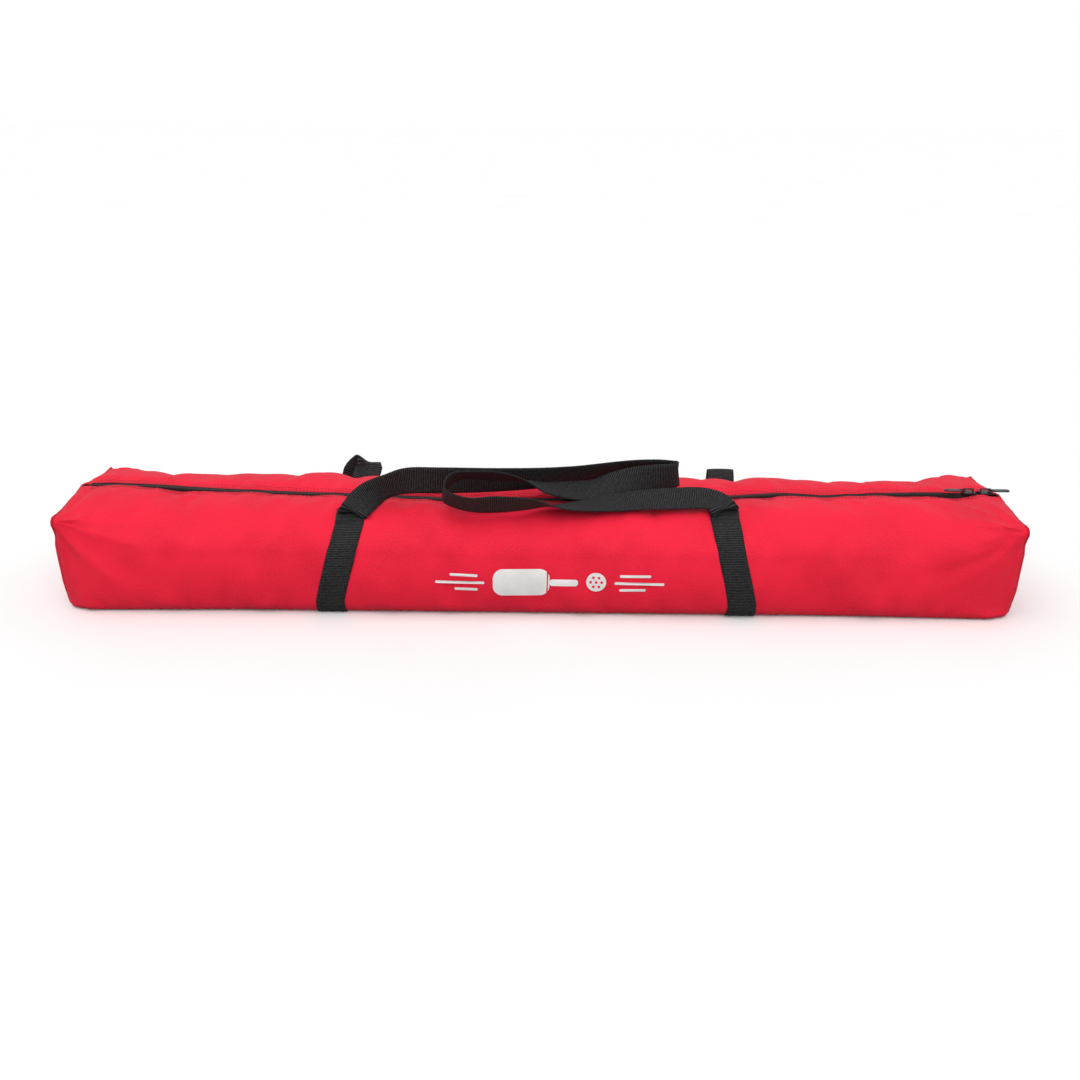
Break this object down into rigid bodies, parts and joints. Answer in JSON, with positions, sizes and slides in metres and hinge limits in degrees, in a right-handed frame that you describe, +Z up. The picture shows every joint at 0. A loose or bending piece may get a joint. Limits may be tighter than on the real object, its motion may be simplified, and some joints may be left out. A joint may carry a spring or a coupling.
{
  "type": "packed portable net kit",
  "caption": "Portable pickleball net packed in its long zipped carry bag with two webbing handles; the net, crossbars, posts and bases lie inside.",
  "frame": {"origin": "centre of the bag's flat bottom face", "axes": "+X along the bag to its right end, +Y from the front face to the rear face, +Z up"},
  "size_m": [1.1722, 0.2198, 0.1764],
  "materials": {
    "bag_fabric": "plain-woven coated polyester, crimson red, matt with a soft sheen",
    "zip_tape": "black zip tape with a nylon coil",
    "webbing": "black woven webbing with fine cross ribs",
    "slider_metal": "black painted die-cast, worn at the edges",
    "frame_tube": "black powder-coated steel tube",
    "button_steel": "zinc-plated spring steel",
    "black_plastic": "moulded black plastic, fine texture",
    "foot_rubber": "matt black rubber",
    "cord": "braided elastic cord",
    "net_mesh": "knotted black mesh, rolled",
    "net_band": "white woven band"
  },
  "bodies": {
    "bag": {"bag_body": "bag_fabric", "left_top_panel": "bag_fabric", "right_top_panel": "bag_fabric", "left_end_panel": "bag_fabric", "right_end_panel": "bag_fabric", "left_zip_end": "zip_tape", "right_zip_end": "zip_tape", "carry_webbing": "webbing", "crossbar_1": "frame_tube", "crossbar_2": "frame_tube", "crossbar_3": "frame_tube", "crossbar_4": "frame_tube", "crossbar_5": "frame_tube", "crossbar_6": "frame_tube", "shock_cords": "cord", "left_post": "frame_tube", "right_post": "frame_tube", "left_post_cap": "black_plastic", "right_post_cap": "black_plastic", "centre_post": "frame_tube", "centre_cradle": "black_plastic", "left_base": "frame_tube", "right_base": "frame_tube", "centre_base": "frame_tube", "foot_caps": "foot_rubber", "net_roll": "net_mesh", "net_headband": "net_band", "net_foot_tape": "webbing", "net_ties": "webbing"},
    "front_flap": {"front_top_flap": "bag_fabric", "front_zip_tape": "zip_tape", "flap_webbing": "webbing"},
    "rear_flap": {"rear_top_flap": "bag_fabric", "rear_zip_tape": "zip_tape"},
    "front_handle": {"front_handle": "webbing"},
    "rear_handle": {"rear_handle": "webbing"},
    "slider_a": {"zip_slider_a": "slider_metal"},
    "pull_a": {"zip_pull_a": "slider_metal"},
    "slider_b": {"zip_slider_b": "slider_metal"},
    "pull_b": {"zip_pull_b": "slider_metal"},
    "button_1": {"snap_button_1": "button_steel"},
    "button_2": {"snap_button_2": "button_steel"},
    "button_3": {"snap_button_3": "button_steel"},
    "button_4": {"snap_button_4": "button_steel"},
    "button_5": {"snap_button_5": "button_steel"},
    "button_6": {"snap_button_6": "button_steel"},
    "left_knob": {"left_base_knob": "black_plastic"},
    "right_knob": {"right_base_knob": "black_plastic"},
    "centre_knob": {"centre_base_knob": "black_plastic"}
  },
  "joints": [
    {"name": "front_flap_fold", "type": "hinge", "parent": "bag", "child": "front_flap", "pos_m": [0, -0.102, 0.082], "axis": [1, 0, 0], "range_deg": [0, 95]},
    {"name": "rear_flap_fold", "type": "hinge", "parent": "bag", "child": "rear_flap", "pos_m": [0, 0.0785, 0.1227], "axis": [-1, 0, 0], "range_deg": [0, 95]},
    {"name": "zip_run_a", "type": "slide", "parent": "bag", "child": "slider_a", "axis": [-1, 0, 0], "range_m": [0, 1.075]},
    {"name": "pull_a_flip", "type": "hinge", "parent": "slider_a", "child": "pull_a", "pos_m": [0.5358, 0, 0.135], "axis": [0, 1, 0], "range_deg": [0, 100]},
    {"name": "zip_run_b", "type": "slide", "parent": "bag", "child": "slider_b", "axis": [1, 0, 0], "range_m": [-0.005, 0.0005]},
    {"name": "pull_b_flip", "type": "hinge", "parent": "slider_b", "child": "pull_b", "pos_m": [0.5662, 0, 0.135], "axis": [0, -1, 0], "range_deg": [0, 100]},
    {"name": "front_handle_lift", "type": "hinge", "parent": "front_flap", "child": "front_handle", "pos_m": [0, -0.08513, 0.11988], "axis": [1, 0, 0], "range_deg": [0, 75]},
    {"name": "rear_handle_lift", "type": "hinge", "parent": "bag", "child": "rear_handle", "pos_m": [0, 0.1083, 0.131], "axis": [1, 0, 0], "range_deg": [0, 170]},
    {"name": "button_1_press", "type": "slide", "parent": "bag", "child": "button_1", "axis": [0, 0, -1], "range_m": [0, 0.0045], "stiffness_N_per_m": 400},
    {"name": "button_2_press", "type": "slide", "parent": "bag", "child": "button_2", "axis": [0, 0, -1], "range_m": [0, 0.0045], "stiffness_N_per_m": 400},
    {"name": "button_3_press", "type": "slide", "parent": "bag", "child": "button_3", "axis": [0, 0, -1], "range_m": [0, 0.0045], "stiffness_N_per_m": 400},
    {"name": "button_4_press", "type": "slide", "parent": "bag", "child": "button_4", "axis": [0, 0, -1], "range_m": [0, 0.0045], "stiffness_N_per_m": 400},
    {"name": "button_5_press", "type": "slide", "parent": "bag", "child": "button_5", "axis": [0, 0, -1], "range_m": [0, 0.0045], "stiffness_N_per_m": 400},
    {"name": "button_6_press", "type": "slide", "parent": "bag", "child": "button_6", "axis": [0, 0, -1], "range_m": [0, 0.0045], "stiffness_N_per_m": 400},
    {"name": "left_knob_turn", "type": "hinge", "parent": "bag", "child": "left_knob", "pos_m": [-0.256, -0.01, 0.047], "axis": [-1, 0, 0], "continuous": true},
    {"name": "right_knob_turn", "type": "hinge", "parent": "bag", "child": "right_knob", "pos_m": [0.256, 0.01, 0.047], "axis": [1, 0, 0], "continuous": true},
    {"name": "centre_knob_turn", "type": "hinge", "parent": "bag", "child": "centre_knob", "pos_m": [0.016, -0.044, 0.047], "axis": [1, 0, 0], "continuous": true}
  ],
  "couplings": [
    {"joint": "rear_flap_fold", "follows": "front_flap_fold", "ratio": 1},
    {"joint": "zip_run_a", "follows": "front_flap_fold", "m_per_rad": 0.64835}
  ]
}
